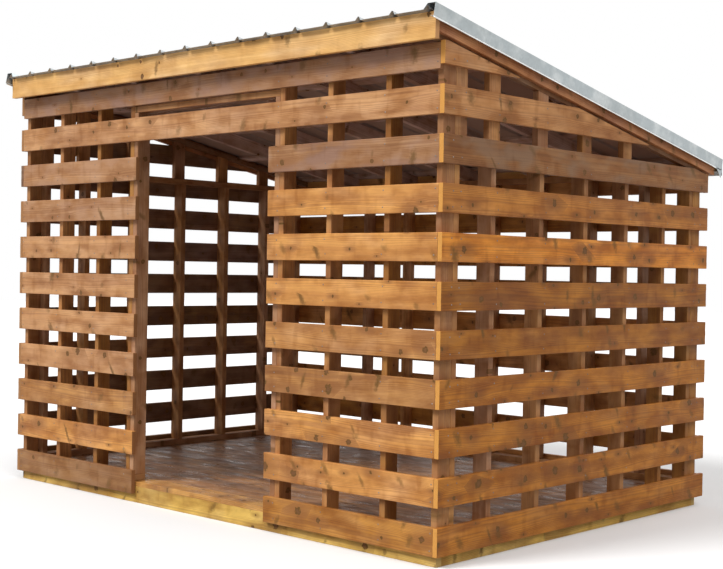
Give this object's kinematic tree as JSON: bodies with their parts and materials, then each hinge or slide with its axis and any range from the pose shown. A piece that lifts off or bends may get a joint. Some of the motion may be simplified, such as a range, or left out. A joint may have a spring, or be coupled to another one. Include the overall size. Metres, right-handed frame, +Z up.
{
  "type": "firewood store",
  "caption": "Open slatted timber firewood store with a deck floor, a doorway without a door and a lean-to roof of ribbed sheets with metal edge trims.",
  "frame": {"origin": "middle of the timber frame's footprint, at ground level under the floor joists", "axes": "+X along the front to the right seen from the doorway side, +Y from the doorway side to the back, +Z up"},
  "size_m": [3.756, 2.7663, 2.6804],
  "materials": {
    "rim_timber": "rough sawn, greenish yellow treated",
    "deck_timber": "worn planed boards, grey brown",
    "frame_timber": "planed, light orange tan",
    "front_cladding": "planed, orange tan with small knots",
    "side_cladding": "planed, red brown",
    "fascia_timber": "planed, yellow orange",
    "barge_timber": "planed, red brown",
    "roof_steel": "galvanised, dull mottled",
    "trim_steel": "galvanised, dull pale blue grey"
  },
  "bodies": {
    "root": {"front_rim_joist": "rim_timber", "back_rim_joist": "rim_timber", "left_rim_joist": "rim_timber", "right_front_rim_joist": "rim_timber", "right_back_rim_joist": "rim_timber", "floor_joists": "rim_timber", "front_deck_board": "deck_timber", "deck_boards": "deck_timber", "front_left_bottom_plate": "frame_timber", "front_right_bottom_plate": "frame_timber", "back_bottom_plate": "frame_timber", "left_bottom_plate": "frame_timber", "right_bottom_plate": "frame_timber", "front_top_plate": "frame_timber", "back_top_plate": "frame_timber", "front_left_studs": "frame_timber", "front_right_studs": "frame_timber", "door_jack_studs": "frame_timber", "door_king_studs": "frame_timber", "door_lintel": "frame_timber", "back_studs": "frame_timber", "left_studs": "frame_timber", "right_studs": "frame_timber", "left_top_plate": "frame_timber", "right_top_plate": "frame_timber", "left_gable_studs": "frame_timber", "right_gable_studs": "frame_timber", "rafters": "frame_timber", "left_end_rafter": "frame_timber", "right_end_rafter": "frame_timber", "roof_battens": "frame_timber", "front_left_slats": "front_cladding", "front_right_slats": "front_cladding", "door_head_slat": "front_cladding", "front_header_board": "front_cladding", "back_slats": "front_cladding", "left_slats": "side_cladding", "right_slats": "side_cladding", "front_fascia": "fascia_timber", "back_fascia": "fascia_timber", "left_barge_board": "barge_timber", "right_barge_board": "barge_timber", "roof_sheet_1": "roof_steel", "roof_sheet_2": "roof_steel", "roof_sheet_3": "roof_steel", "roof_sheet_4": "roof_steel", "left_gable_trim": "trim_steel", "right_gable_trim": "trim_steel", "back_eave_trim": "trim_steel"}
  },
  "joints": []
}
